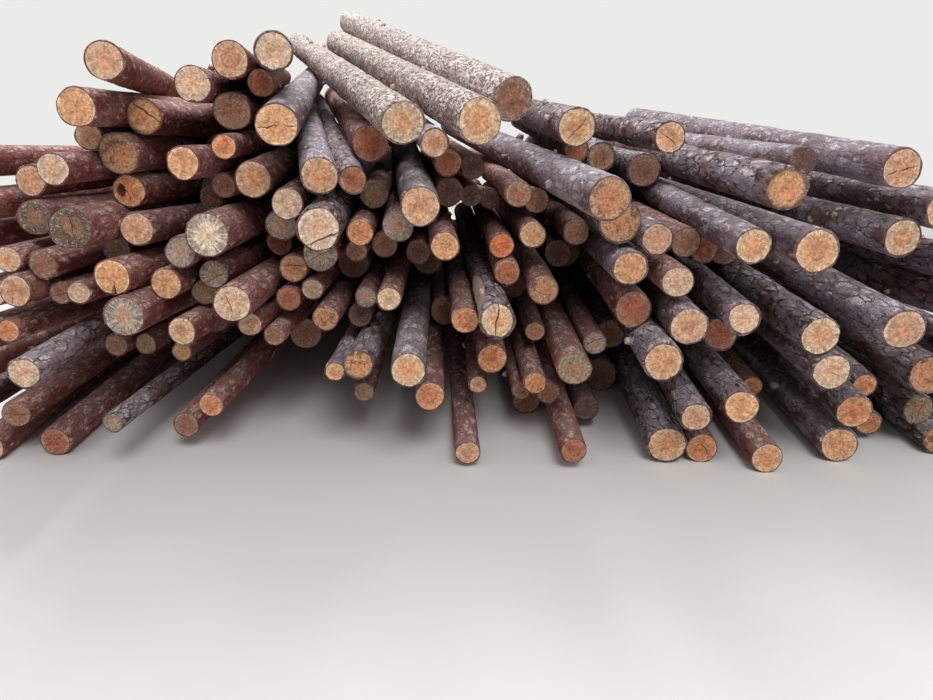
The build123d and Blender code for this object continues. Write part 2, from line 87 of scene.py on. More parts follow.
# What a cut end is like: wood, heart and rim tones, the share of mould, dirt and small cracks, and the
# heart's size.
ends = {
    "fresh": {"wood": (206, 154, 112), "heart": (200, 140, 98), "rim": (218, 182, 142),
              "mould": 0.0, "dirt": 0.05, "crack": 0.1, "core": 0.5},
    "orange": {"wood": (198, 138, 98), "heart": (188, 118, 78), "rim": (206, 162, 124),
               "mould": 0.05, "dirt": 0.15, "crack": 0.2, "core": 0.6},
    "tan": {"wood": (200, 156, 122), "heart": (194, 138, 104), "rim": (206, 176, 148),
            "mould": 0.15, "dirt": 0.15, "crack": 0.25, "core": 0.5},
    "pale": {"wood": (208, 176, 144), "heart": (204, 158, 122), "rim": (214, 194, 170),
             "mould": 0.2, "dirt": 0.1, "crack": 0.25, "core": 0.5},
    "pink": {"wood": (202, 156, 118), "heart": (198, 140, 100), "rim": (208, 178, 144),
             "mould": 0.15, "dirt": 0.15, "crack": 0.2, "core": 0.55},
    "red": {"wood": (172, 116, 90), "heart": (162, 94, 68), "rim": (178, 136, 110),
            "mould": 0.15, "dirt": 0.3, "crack": 0.3, "core": 0.65},
    "rust": {"wood": (196, 118, 78), "heart": (184, 98, 60), "rim": (190, 134, 96),
             "mould": 0.05, "dirt": 0.1, "crack": 0.2, "core": 0.7},
    "brown": {"wood": (150, 112, 90), "heart": (138, 92, 68), "rim": (164, 136, 114),
              "mould": 0.35, "dirt": 0.45, "crack": 0.35, "core": 0.55},
    "grey": {"wood": (162, 142, 124), "heart": (176, 124, 92), "rim": (170, 156, 140),
             "mould": 0.65, "dirt": 0.3, "crack": 0.4, "core": 0.42},
    "rotten": {"wood": (128, 104, 86), "heart": (156, 112, 82), "rim": (178, 162, 144),
               "mould": 0.8, "dirt": 0.8, "crack": 0.5, "core": 0.5},
    "mouldy": {"wood": (186, 166, 144), "heart": (186, 138, 102), "rim": (198, 186, 168),
               "mould": 0.8, "dirt": 0.25, "crack": 0.3, "core": 0.42},
    "star": {"wood": (226, 204, 174), "heart": (222, 184, 146), "rim": (222, 206, 182),
             "mould": 0.85, "dirt": 0.1, "crack": 0.3, "core": 0.45},
    # sawn wood toned as it looks in shade: painted shade, with some dirt and mould of its own
    "dark": {"wood": (104, 80, 70), "heart": (100, 68, 56), "rim": (116, 96, 84),
             "mould": 0.3, "dirt": 0.5, "crack": 0.4, "core": 0.5},
    "olive": {"wood": (150, 128, 98), "heart": (150, 108, 76), "rim": (164, 150, 124),
              "mould": 0.5, "dirt": 0.5, "crack": 0.3, "core": 0.5},
    "hearted": {"wood": (206, 168, 128), "heart": (202, 140, 98), "rim": (212, 188, 156),
                "mould": 0.2, "dirt": 0.1, "crack": 0.3, "core": 0.52},
    "ringed": {"wood": (206, 172, 136), "heart": (200, 138, 98), "rim": (210, 190, 162),
               "mould": 0.35, "dirt": 0.1, "crack": 0.25, "core": 0.55},
    "stained": {"wood": (196, 146, 108), "heart": (192, 128, 88), "rim": (170, 136, 108),
                "mould": 0.35, "dirt": 0.8, "crack": 0.3, "core": 0.55},
    "rimmed": {"wood": (198, 148, 106), "heart": (194, 132, 90), "rim": (104, 76, 62),
               "mould": 0.35, "dirt": 0.35, "crack": 0.3, "core": 0.55},
}

# Each node's logs in their order there: the look of the cut end and of the bark. The dark looks are painted
# shade, and cream bark is partly painted sunlight.
logLooks = {
    "left_top_logs_1": "tan/red fresh/red rimmed/red pale/red pink/red pale/grey",
    "left_top_logs_2": "tan/lilac stained/red fresh/red orange/red brown/red red/red",
    "left_middle_logs_1": "tan/red pale/red orange/red brown/red rotten/grey rotten/red rotten/red",
    "left_middle_logs_2": "tan/red star/red grey/red olive/red ringed/red brown/red",
    "left_low_logs_1": "tan/red brown/red pale/red fresh/red fresh/red mouldy/red",
    "left_low_logs_2": "olive/red mouldy/red hearted/red pale/red orange/red brown/red",
    "left_low_logs_3": "olive/red pink/red pale/grey grey/grey orange/red brown/red",
    "middle_top_logs_1": "fresh/lilac pink/lilac red/grey red/red ringed/cream tan/cream hearted/cream",
    "middle_top_logs_2": "brown/cream tan/lilac red/red dark/red pink/red pale/red dark/red",
    "middle_top_logs_3": "dark/red dark/red pink/lilac olive/red brown/red brown/red",
    "middle_logs_1": "grey/red pale/scaly mouldy/red grey/red red/red orange/red brown/red",
    "middle_logs_2": "brown/red fresh/red dark/red stained/red pale/red red/red pink/red",
    "middle_logs_3": "rust/red red/red stained/red dark/dark brown/red",
    "middle_low_logs_1": "stained/red tan/red brown/red grey/red dark/red pale/red fresh/lilac stained/grey",
    "middle_low_logs_2": "hearted/lilac orange/red olive/red orange/red hearted/scaly orange/red tan/red "
                         "tan/red",
    "middle_low_logs_3": "orange/red brown/red brown/red pink/red olive/red grey/red red/red dark/dark",
    "right_top_logs_1": "hearted/grey pink/scaly red/scaly brown/scaly",
    "right_top_logs_2": "rimmed/scaly dark/lilac tan/lilac tan/grey",
    "right_middle_logs_1": "stained/lilac stained/grey fresh/lilac tan/grey brown/red red/grey",
    "right_middle_logs_2": "hearted/lilac pink/lilac ringed/grey red/red pale/red tan/grey",
    "right_middle_logs_3": "pale/grey red/grey ringed/scaly tan/grey tan/scaly",
    "right_low_logs_1": "pink/scaly pink/scaly tan/scaly fresh/scaly orange/red",
    "right_low_logs_2": "pink/red orange/red pale/grey fresh/lilac orange/grey",
    "right_low_logs_3": "orange/grey orange/grey stained/scaly olive/scaly",
    "inner_logs_1": "brown/red " * 12,
    "inner_logs_2": "brown/grey " * 9,
    "left_side_logs_1": "tan/red orange/red brown/red pale/grey tan/red stained/red brown/red red/red "
                        "tan/grey tan/red",
    "right_side_logs_1": "tan/scaly fresh/scaly hearted/grey pink/scaly stained/scaly tan/grey orange/scaly",
}
deepNodes = {"inner_logs_1", "inner_logs_2"}
openLogs = {
    "left_top_logs_1": {0, 1, 3, 4, 5}, "left_top_logs_2": {0, 1, 2},
    "middle_top_logs_1": {0, 1, 4, 5, 6}, "middle_top_logs_2": {0}, "middle_top_logs_3": {2},
    "middle_low_logs_1": {6, 7}, "middle_low_logs_2": {0, 4},
    "right_top_logs_1": {0, 1}, "right_top_logs_2": {0, 1, 2},
    "right_middle_logs_1": {0}, "right_middle_logs_2": {0, 1}, "right_middle_logs_3": {2},
    "right_low_logs_1": {0, 1}, "right_low_logs_2": {3}, "right_side_logs_1": {0}, "left_side_logs_1": {0},
}

# Single features. A long crack: its slope in degrees, its distance from the middle and its half width, both
# as shares of the radius. A hollow: right, up, half width and half height as shares of the radius, and depth
# in metres. A stub: distance from the near end, degrees from the top to the right, diameter and height. A
# bare strip of bark: distance, degrees, half length and half width in degrees. Torn wood: its depth in metres.
features = {
    "left_top_logs_1": {2: {"crack": (-38, 0.30, 0.045)}, 3: {"hollow": [(-0.12, -0.98, 0.22, 0.16, 0.012)]}},
    "left_middle_logs_1": {2: {"hollow": [(-0.52, 0.02, 0.24, 0.36, 0.035)]}, 6: {"torn": 0.02}},
    "left_low_logs_1": {3: {"hollow": [(0.0, -0.85, 0.10, 0.30, 0.03)]}},
    "middle_top_logs_1": {0: {"crack": (3, -0.16, 0.022)}, 2: {"torn": 0.012}},
    "middle_top_logs_2": {0: {"torn": 0.014}},
    "middle_logs_1": {1: {"crack": (24, -0.42, 0.03)}},
    "middle_low_logs_2": {4: {"crack": (84, 0.1, 0.03), "stub": (0.62, 78, 0.034, 0.024),
                              "bare": [(0.34, -58, 0.32, 34)]}},
    "right_top_logs_1": {3: {"torn": 0.012}},
    "right_top_logs_2": {0: {"torn": 0.010}},
    "right_middle_logs_1": {0: {"stub": (1.50, 25, 0.034, 0.016)}, 1: {"torn": 0.010}},
    "right_low_logs_1": {0: {"stub": (0.23, -80, 0.030, 0.024)}},
    "right_low_logs_2": {3: {"stub": (0.56, -62, 0.034, 0.026)}},
    "right_low_logs_3": {2: {"torn": 0.012}},
}


def toLinear(rgb):
    # tones are written on a screen's scale of 0 to 255, and this is that scale's own curve
    out = []
    for c in rgb:
        c = c / 255
        out.append(c / 12.92 if c <= 0.04045 else ((c + 0.055) / 1.055) ** 2.4)
    return out


# Large odd numbers that scatter neighbouring grid places, and the bits that are kept.
scatter = {"x": 73856093, "y": 19349663, "z": 83492791, "salt": 2654435761, "mix": (2246822519, 3266489917),
           "kept": 0xFFFFFFFF, "range": 0xFFFFFF}


def hashGrid(ix, iy, iz, salt):
    # one number from 0 to 1 for each grid place
    x, y, z = ix.astype(np.int64), iy.astype(np.int64), iz.astype(np.int64)
    h = x * scatter["x"] ^ y * scatter["y"] ^ z * scatter["z"]
    h = (h ^ (salt * scatter["salt"])) & scatter["kept"]
    h = ((h ^ (h >> 15)) * scatter["mix"][0]) & scatter["kept"]
    h = ((h ^ (h >> 13)) * scatter["mix"][1]) & scatter["kept"]
    return ((h ^ (h >> 16)) & scatter["range"]) / float(scatter["range"])


def softNoise(p, salt):
    # smooth noise from 0 to 1 at the points p
    base = np.floor(p)
    f = p - base
    f = f * f * (3 - 2 * f)
    ix, iy, iz = base[:, 0], base[:, 1], base[:, 2]
    total = np.zeros(len(p))
    for dx in (0, 1):
        wx = f[:, 0] if dx else 1 - f[:, 0]
        for dy in (0, 1):
            wy = f[:, 1] if dy else 1 - f[:, 1]
            for dz in (0, 1):
                wz = f[:, 2] if dz else 1 - f[:, 2]
                total += wx * wy * wz * hashGrid(ix + dx, iy + dy, iz + dz, salt)
    return total


def noiseAt(x, y, z, salt):
    return softNoise(np.stack(np.broadcast_arrays(x, y, z), axis=1), salt)


def ringNoise(way, along, setup, salt):
    # noise that meets itself after a turn round the log
    spot = way * setup["round"] + setup["shift"]
    return noiseAt(spot[:, 0], spot[:, 1], along, salt + setup["salt"])


def coneRadius(log, share):
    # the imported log's radius at a share of its length
    return log["nearRadius"] + share * (log["farRadius"] - log["nearRadius"])


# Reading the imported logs, in metres: vertices nearer than weld are one, those within endReach of a log's end
# give its rough axis, and those within each cutReach along that axis belong to its cut.
reading = {"weld": 0.00001, "endReach": 0.12, "cutReach": (0.02, 0.003)}


def readLogs(cadObject):
    # each log of a node, in the order of its solids: near end, far end and their radii
    bm = bmesh.new()
    bm.from_mesh(cadObject.data)
    bmesh.ops.remove_doubles(bm, verts=bm.verts, dist=reading["weld"])
    found = []
    seen = set()
    for face in bm.faces:
        if face in seen:
            continue
        seen.add(face)
        stack = [face]
        corners = set()
        while stack:
            for vertex in stack.pop().verts:
                if vertex in corners:
                    continue
                corners.add(vertex)
                for other in vertex.link_faces:
                    if other not in seen:
                        seen.add(other)
                        stack.append(other)
        points = np.array([v.co for v in corners])
        a = points[points[:, 1] < points[:, 1].min() + reading["endReach"]].mean(axis=0)
        b = points[points[:, 1] > points[:, 1].max() - reading["endReach"]].mean(axis=0)
        for reach in reading["cutReach"]:
            along = (points - a) @ (b - a) / np.linalg.norm(b - a)
            near, far = points[along < along.min() + reach], points[along > along.max() - reach]
            a, b = near.mean(axis=0), far.mean(axis=0)
        found.append({
            "near": Vector(a), "far": Vector(b),
            "nearRadius": float(np.linalg.norm(near - a, axis=1).mean()),
            "farRadius": float(np.linalg.norm(far - b, axis=1).mean()),
        })
    bm.free()
    return found


# How finely a log is meshed: sides round it, rings along it, how much the rings crowd at the near end,
# and rings across its cut ends.
meshing = {
    "open": {"sides": 52, "rings": 84, "crowd": 1.3, "cutRings": 6},
    "front": {"sides": 40, "rings": 38, "crowd": 1.9, "cutRings": 5},
    "deep": {"sides": 24, "rings": 14, "crowd": 1.9, "cutRings": 2},
}
# The stock: the small step between bark and wood, the bark's thickness as a share of what its kind says and
# of the radius at most, the middle of a cut in rings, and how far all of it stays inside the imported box.
stock = {"lip": 0.0012, "thickSpread": (0.8, 1.3), "thickMost": 0.16, "middle": 0.7, "inside": 0.00001}


def roundStock(log, mesh, barkThick):
    # a closed tapered log along its own +z, bark (0) outside and cut wood (1) at both ends
    length = (log["far"] - log["near"]).length
    bm = bmesh.new()
    matrix = Matrix.Translation((0, 0, length / 2))
    bmesh.ops.create_cone(bm, cap_ends=True, cap_tris=False, segments=mesh["sides"], depth=length,
                          radius1=log["nearRadius"], radius2=log["farRadius"], matrix=matrix)
    caps = [f for f in bm.faces if len(f.verts) > 4]
    runs = [e for e in bm.edges if abs(e.verts[0].co.z - e.verts[1].co.z) > length / 2]
    bmesh.ops.subdivide_edges(bm, edges=runs, cuts=mesh["rings"], use_grid_fill=True)
    for v in bm.verts:
        even = v.co.z / length
        crowded = even ** mesh["crowd"]
        scale = coneRadius(log, crowded) / coneRadius(log, even)
        v.co = Vector((v.co.x * scale, v.co.y * scale, crowded * length))
    lip = stock["lip"]
    for cap in caps:
        inner = cap.verts[0].co.xy.length - barkThick - lip
        bmesh.ops.inset_individual(bm, faces=[cap], thickness=barkThick, depth=-lip)
        bmesh.ops.inset_individual(bm, faces=[cap], thickness=lip, depth=lip)
        cap.material_index = 1
        ring = inner / (mesh["cutRings"] + stock["middle"])
        for _ in range(mesh["cutRings"]):
            bmesh.ops.inset_individual(bm, faces=[cap], thickness=ring, depth=0.0)
        bmesh.ops.poke(bm, faces=[cap])
    return bm, length


# A log's outline. Each noise has its frequency round the log and along it, its shift and its salt, and amount
# is a share of the radius. The oval's turn and strength come from the log's number.
outline = {
    "skin": 0.985,
    "lobes": {"round": 1.2, "along": 0.8, "shift": 5, "salt": 0, "amount": 0.075},
    "swell": {"round": 0.6, "along": 4.0, "shift": 3, "salt": 3, "amount": 0.03},
    "oval": {"turn": 0.7, "least": 0.01, "spread": 0.035, "draw": 0.37},
}
# The bark's relief: layers of frequency in cells, height in depths and salt, and the mean that is taken off.
relief = {"layers": ((1.0, 0.9, 31), (2.3, 0.5, 41), (0.33, 1.6, 45)), "mean": 1.4}
# The cuts: what counts as one (reach), the uneven edge of its bark, chips out of the bark, the saw's
# unevenness, torn bark as a share of torn wood, and the hollows' rim, curve, roughness and painted shade.
cuts = {
    "reach": 0.003,
    "ragged": {"round": 4, "along": 2, "shift": 9, "salt": 61, "edge": 0.004, "amount": 0.75, "middle": 0.45},
    "chip": {"round": 6, "along": 2, "shift": 0, "salt": 51, "amount": 0.7},
    "saw": {"round": 28, "along": 4, "salt": 55, "depth": 0.0015},
    "tornBark": 0.4,
    "hollow": {"rim": 1.25, "curve": 0.7, "rough": 0.25, "paintedShade": 1.6},
}


def shapeSkin(x, y, z, way, out, skin, bark, salt):
    # bark and outline swell a little to both sides of the solid
    lobes, swell, oval = outline["lobes"], outline["swell"], outline["oval"]
    factor = 1.0
    for setup in (lobes, swell):
        factor = factor - setup["amount"] * (ringNoise(way, z * setup["along"], setup, salt) - 0.5)
    turn = (salt * oval["turn"]) % math.pi
    strength = oval["least"] + oval["spread"] * ((salt * oval["draw"]) % 1)
    factor = factor - strength * 0.5 * np.cos(2 * (np.arctan2(y, x) - turn))
    cell = bark["cell"]
    spots = np.stack([x / cell, y / cell, z / (cell * bark["long"])], axis=1)
    high = sum(softNoise(spots * often, salt + own) * tall for often, tall, own in relief["layers"])
    return out * factor - np.where(skin, bark["depth"] * (high - relief["mean"]), 0.0)


def shapeCuts(x, y, z, way, skin, log, length, thick, salt, torn, hollows):
    # the cut ends only go inwards, and a hollow is only in the near one
    chipSetup, saw, pitSetup = cuts["chip"], cuts["saw"], cuts["hollow"]
    chip = ringNoise(way, chipSetup["along"], chipSetup, salt)
    rough = noiseAt(x * saw["round"], y * saw["round"], saw["along"], salt + saw["salt"])
    rough = rough * (saw["depth"] + torn)
    near, far = z < cuts["reach"], z > length - cuts["reach"]
    inwards = np.where(skin, chip * thick * chipSetup["amount"] + torn * cuts["tornBark"], rough)
    hollow = np.zeros(len(z))
    r = log["nearRadius"]
    for right, up, wide, high, deep in hollows:
        off = np.hypot((-x / r - right) / wide, (y / r - up) / high) + pitSetup["rough"] * (chip - 0.5)
        pit = np.clip(pitSetup["rim"] - off, 0, 1) ** pitSetup["curve"]
        inwards = np.where(near, inwards + deep * pit, inwards)
        # how much painted shade the hollow gets
        hollow = np.where(near, np.maximum(hollow, np.clip(pit * pitSetup["paintedShade"], 0, 1)), hollow)
    return np.where(near, inwards, 0.0) - np.where(far, inwards, 0.0), hollow


def shapeLog(points, log, length, bark, thick, salt, torn, hollows):
    x, y, z = points.T
    share = z / length
    solid = coneRadius(log, share)
    out = np.hypot(x, y)
    way = np.stack([x, y], axis=1) / np.maximum(out, 1e-6)[:, None]
    skin = out > solid * outline["skin"]
    radius = shapeSkin(x, y, z, way, out, skin, bark, salt)
    setup = cuts["ragged"]
    ragged = ringNoise(way, share + setup["along"], setup, salt)
    edge = (out > solid - thick - setup["edge"]) & ~skin
    radius = np.where(edge, radius + thick * setup["amount"] * (ragged - setup["middle"]), radius)
    moved = points.copy()
    moved[:, :2] = way * radius[:, None]
    inwards, hollow = shapeCuts(x, y, z, way, skin, log, length, thick, salt, torn, hollows)
    moved[:, 2] = z + inwards
    return moved, skin, hollow


# Knots and stubs: where they root and how much longer that makes them, both as shares of the log's radius,
# how much wider their foot is, how rough tip and sides are in metres, and their sides.
stubShape = {"root": 0.82, "rootLength": 0.14, "foot": 1.5, "tipRough": 0.0022, "sideRough": 0.001,
             "sides": 9}
# Small knots: how many a log has, degrees from the top, share of the length, width, height and lean.
knots = {"count": {"open": (3, 6), "front": (1, 4)}, "turn": 125, "place": (0.05, 0.95),
         "width": (0.006, 0.014), "tall": (0.014, 0.026), "lean": (-10, 30)}
# The stubs in features: their radius as a share of the diameter given there, and how much longer they are.
bigStub = {"radius": 0.45, "longer": 0.012, "lean": -20, "sides": 14}


def addStub(bm, log, length, place, turn, width, tall, lean, chance, sides):
    # one trimmed branch: a short leaning cone, its end broken off
    solid = coneRadius(log, place / length)
    tall += solid * stubShape["rootLength"]
    matrix = Matrix.Rotation(turn, 4, "Z") @ Matrix.Translation((solid * stubShape["root"], 0, place))
    matrix = matrix @ Matrix.Rotation(math.radians(90 - lean), 4, "Y") @ Matrix.Translation((0, 0, tall / 2))
    made = bmesh.ops.create_cone(bm, cap_ends=True, cap_tris=False, segments=sides, depth=tall, matrix=matrix,
                                 radius1=width * stubShape["foot"], radius2=width)
    tips = sorted(made["verts"], key=lambda v: -v.co.xy.length)[:sides]
    for v in made["verts"]:
        shift = stubShape["tipRough"] if v in tips else stubShape["sideRough"]
        v.co += Vector((chance.uniform(-1, 1), chance.uniform(-1, 1), chance.uniform(-1, 1))) * shift
    return tips


def addKnots(bm, log, length, level, extra, chance):
    tips = []
    if level in knots["count"]:
        for _ in range(chance.randint(*knots["count"][level])):
            turn = math.radians(90 + chance.uniform(-knots["turn"], knots["turn"]))
            place = chance.uniform(*knots["place"]) * length
            width, tall, lean = (chance.uniform(*knots[part]) for part in ("width", "tall", "lean"))
            tips += addStub(bm, log, length, place, turn, width, tall, lean, chance, stubShape["sides"])
    if "stub" in extra:
        place, degrees, width, tall = extra["stub"]
        tips += addStub(bm, log, length, place, math.radians(90 + degrees), width * bigStub["radius"],
                        tall + bigStub["longer"], bigStub["lean"], chance, bigStub["sides"])
    return tips


def attribute(mesh, name, kind, values):
    layer = mesh.attributes.new(name, kind, "POINT")
    key = {"FLOAT": "value", "FLOAT_VECTOR": "vector", "FLOAT_COLOR": "color"}[kind]
    layer.data.foreach_set(key, np.ascontiguousarray(values, dtype=np.float32).ravel())


# How far one log's tones, pith, small crack and bare stubs may differ from the next one's, as shares of the
# tone or the radius, and how a bare strip fades.
spread = {
    "bark": 0.05, "dustAndLitTop": 0.03, "wood": 0.04, "rim": 0.03, "pith": 0.09, "patternShift": 40,
    "crackOff": 0.2, "crackChance": 0.6, "crackHalf": (0.004, 0.010),
    "bareStub": (0.5, 1.0), "bareMost": 1.6, "bareFade": 1.2,
}
chanceStep, chanceStart = 7919, 17      # each log has its own random draws


def toneRow(rgb, alpha, count, chance, most):
    # one tone for the whole log, a little lighter or darker and warmer or colder than written
    lift = 1 + chance.uniform(-most, most) * 2
    warm = chance.uniform(-most, most)
    r, g, b = toLinear(rgb)
    return np.tile([r * lift * (1 + warm * 0.5), g * lift, b * lift * (1 - warm), alpha], (count, 1))


def bareRow(points, skin, tipRows, strips, chance):
    # where wood is laid bare: 1 on broken stubs and in the middle of a strip
    bare = np.zeros(len(points))
    bare[tipRows] = chance.uniform(*spread["bareStub"])
    for place, degrees, reach, wide in strips:
        angle = np.degrees(np.arctan2(-points[:, 0], points[:, 1]))
        off = np.hypot((points[:, 2] - place) / reach, ((angle - degrees + 180) % 360 - 180) / wide)
        strip = np.clip(spread["bareMost"] - spread["bareFade"] * off, 0, 1)
        bare = np.maximum(bare, np.where(skin, strip, 0))
    return bare


def crackRow(extra, end, radius, chance):
    # the crack's line across the end: which way it faces, its half width and how far off it runs
    off = spread["crackOff"]
    plain = (chance.uniform(0, 180), chance.uniform(-off, off), 0.0)
    slope, offset, half = extra.get("crack", plain)
    if "crack" not in extra and chance.random() < end["crack"] * spread["crackChance"]:
        half = chance.uniform(*spread["crackHalf"])
    slope = math.radians(slope)
    return [math.sin(slope) / radius, math.cos(slope) / radius, half], offset


def placeLog(moved, log):
    # from the log's own axes, x to the left, y up and z away along it, to the frame
    axis = (log["far"] - log["near"]).normalized()
    left = Vector((-axis.y, axis.x, 0)).normalized()
    up = axis.cross(left)
    world = moved @ np.array([left, up, axis]) + np.array(log["near"])
    return np.clip(world, np.array(cadLow) + stock["inside"], np.array(cadHigh) - stock["inside"])


def makeLog(name, log, endLook, barkLook, level, salt, extra):
    chance = random.Random(salt * chanceStep + chanceStart)
    bark, end = barks[barkLook], ends[endLook]
    thick = min(bark["thick"] * chance.uniform(*stock["thickSpread"]), log["nearRadius"] * stock["thickMost"])
    bm, length = roundStock(log, meshing[level], thick)
    plain = len(bm.verts)
    tips = addKnots(bm, log, length, level, extra, chance)
    bm.verts.index_update()
    tipRows = [v.index for v in tips]
    points = np.array([v.co for v in bm.verts])
    count = len(points)
    moved, skin, hollow = points.copy(), np.ones(count, dtype=bool), np.zeros(count)
    moved[:plain], skin[:plain], hollow[:plain] = shapeLog(points[:plain], log, length, bark, thick, salt,
                                                           extra.get("torn", 0.0), extra.get("hollow", []))
    bmesh.ops.recalc_face_normals(bm, faces=bm.faces)
    data = bpy.data.meshes.new(name)
    bm.to_mesh(data)
    bm.free()
    data.vertices.foreach_set("co", placeLog(moved, log).astype(np.float32).ravel())
    finish = np.zeros(len(data.polygons), dtype=np.int32)
    data.polygons.foreach_get("material_index", finish)
    data.polygons.foreach_set("use_smooth", finish == 0)
    solid = coneRadius(log, np.clip(points[:, 2] / length, 0, 1))
    out = np.hypot(points[:, 0], points[:, 1])
    pith = np.array([chance.uniform(-1, 1), chance.uniform(-1, 1), 0]) * spread["pith"] * log["nearRadius"]
    bare = bareRow(moved, skin, tipRows, extra.get("bare", []), chance)
    line, offset = crackRow(extra, end, log["nearRadius"], chance)
    shift = [chance.uniform(0, spread["patternShift"]) for _ in range(3)]
    attribute(data, "logPlace", "FLOAT_VECTOR", moved - pith)
    attribute(data, "logShift", "FLOAT_VECTOR", np.tile(shift, (count, 1)))
    attribute(data, "outShare", "FLOAT", out / (solid - thick))
    attribute(data, "barkCut", "FLOAT", np.where(skin, 0.0, 1.0))
    attribute(data, "bareShare", "FLOAT", bare)
    attribute(data, "hollowShare", "FLOAT", hollow)
    for layer, rgb, alpha, most in (
        ("barkTone", bark["tone"], bark["plates"], spread["bark"]),
        ("barkPatch", bark["patch"], bark["flakes"], spread["bark"]),
        ("barkDustAndLitTop", bark["dustAndLitTop"], 1.0, spread["dustAndLitTop"]),
        ("endWood", end["wood"], end["dirt"], spread["wood"]),
        ("endHeart", end["heart"], end["core"], spread["wood"]),
        ("endRim", end["rim"], end["mould"], spread["rim"]),
    ):
        attribute(data, layer, "FLOAT_COLOR", toneRow(rgb, alpha, count, chance, most))
    attribute(data, "crackLine", "FLOAT_VECTOR", np.tile(line, (count, 1)))
    attribute(data, "crackOff", "FLOAT", np.full(count, offset))
    made = bpy.data.objects.new(name, data)
    bpy.context.scene.collection.objects.link(made)
    return made


def makeNode(name, cadObject, salt):
    looks = logLooks[name].split()
    logs = readLogs(cadObject)
    members = []
    for k, log in enumerate(logs):
        endLook, barkLook = looks[k].split("/")
        level = "deep" if name in deepNodes else "open" if k in openLogs.get(name, ()) else "front"
        extra = features.get(name, {}).get(k, {})
        members.append(makeLog(f"{name}_{k + 1}", log, endLook, barkLook, level, salt + k, extra))
    first = members[0]
    for member in members:
        member.data.materials.append(barkFinish)
        member.data.materials.append(woodFinish)
    with bpy.context.temp_override(active_object=first, object=first, selected_objects=members,
                                   selected_editable_objects=members):
        bpy.ops.object.join()
    first.name = f"{name}_dressed"
    first.data.name = first.name
    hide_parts(name)
    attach(first, "root")
    return first, len(logs)


class Graph:
    # short calls for laying out a material's nodes

    def __init__(self, name):
        self.material = bpy.data.materials.new(name)
        self.material.use_nodes = True
        self.tree = self.material.node_tree
        self.tree.nodes.clear()
        self.output = self.tree.nodes.new("ShaderNodeOutputMaterial")
        self.shader = self.tree.nodes.new("ShaderNodeBsdfPrincipled")
        self.tree.links.new(self.shader.outputs[0], self.output.inputs[0])

    def put(self, socket, value):
        if isinstance(value, bpy.types.NodeSocket):
            self.tree.links.new(value, socket)
        else:
            socket.default_value = value

    def read(self, name, output="Fac"):
        node = self.tree.nodes.new("ShaderNodeAttribute")
        node.attribute_name = name
        return node.outputs[output]

    def readTone(self, name):
        # a log's tone and the share that rides with it
        node = self.tree.nodes.new("ShaderNodeAttribute")
        node.attribute_name = name
        return node.outputs["Color"], node.outputs["Alpha"]

    def calc(self, operation, a, b=0.0):
        node = self.tree.nodes.new("ShaderNodeMath")
        node.operation = operation
        self.put(node.inputs[0], a)
        self.put(node.inputs[1], b)
        return node.outputs[0]

    def plus(self, total, *others):
        for other in others:
            total = self.calc("ADD", total, other)
        return total

    def times(self, total, *others):
        for other in others:
            total = self.calc("MULTIPLY", total, other)
        return total

    def minus(self, a, b):
        return self.calc("SUBTRACT", a, b)

    def line(self, value, start, gain):
        return self.plus(self.times(value, gain), start)

    def swing(self, value, gain):
        # a noise taken round its middle
        return self.times(self.minus(value, 0.5), gain)

    def vector(self, operation, a, b=(0.0, 0.0, 0.0)):
        node = self.tree.nodes.new("ShaderNodeVectorMath")
        node.operation = operation
        self.put(node.inputs[0], a)
        if operation == "SCALE":
            self.put(node.inputs["Scale"], b)
            return node.outputs["Vector"]
        self.put(node.inputs[1], b)
        return node.outputs["Value"] if operation in ("LENGTH", "DOT_PRODUCT") else node.outputs["Vector"]

    def stretch(self, place, along):
        # along below 1 draws a pattern out along the log
        return self.vector("MULTIPLY", place, (1.0, 1.0, along))

    def noise(self, place, setup):
        node = self.tree.nodes.new("ShaderNodeTexNoise")
        self.put(node.inputs["Vector"], place)
        for socket, value in zip(("Scale", "Detail", "Roughness"), setup):
            node.inputs[socket].default_value = value
        return node.outputs[0]

    def cells(self, place, scale):
        # 0 on the lines between cells, growing towards each cell's middle
        node = self.tree.nodes.new("ShaderNodeTexVoronoi")
        node.feature = "DISTANCE_TO_EDGE"
        self.put(node.inputs["Vector"], place)
        node.inputs["Scale"].default_value = scale
        return node.outputs["Distance"]

    def step(self, value, low, high):
        # 0 at low, 1 at high, soft between them
        node = self.tree.nodes.new("ShaderNodeMapRange")
        node.interpolation_type = "SMOOTHSTEP"
        self.put(node.inputs["Value"], value)
        self.put(node.inputs["From Min"], low)
        self.put(node.inputs["From Max"], high)
        return node.outputs["Result"]

    def without(self, value):
        return self.minus(1.0, value)

    def mix(self, share, a, b):
        node = self.tree.nodes.new("ShaderNodeMix")
        node.data_type = "RGBA"
        self.put(node.inputs[0], share)
        self.put(node.inputs[6], a)
        self.put(node.inputs[7], b)
        return node.outputs[2]

    def close(self, colour, rough, height, depth):
        # the shader's colour, and a bump from the height
        self.put(self.shader.inputs["Base Color"], colour)
        self.shader.inputs["Roughness"].default_value = rough
        self.shader.inputs["Specular IOR Level"].default_value = dullShine
        node = self.tree.nodes.new("ShaderNodeBump")
        node.inputs["Distance"].default_value = depth
        self.put(node.inputs["Height"], height)
        self.put(self.shader.inputs["Normal"], node.outputs[0])
        return self.material


def tone(rgb):
    return (*toLinear(rgb), 1.0)


dullShine = 0.2
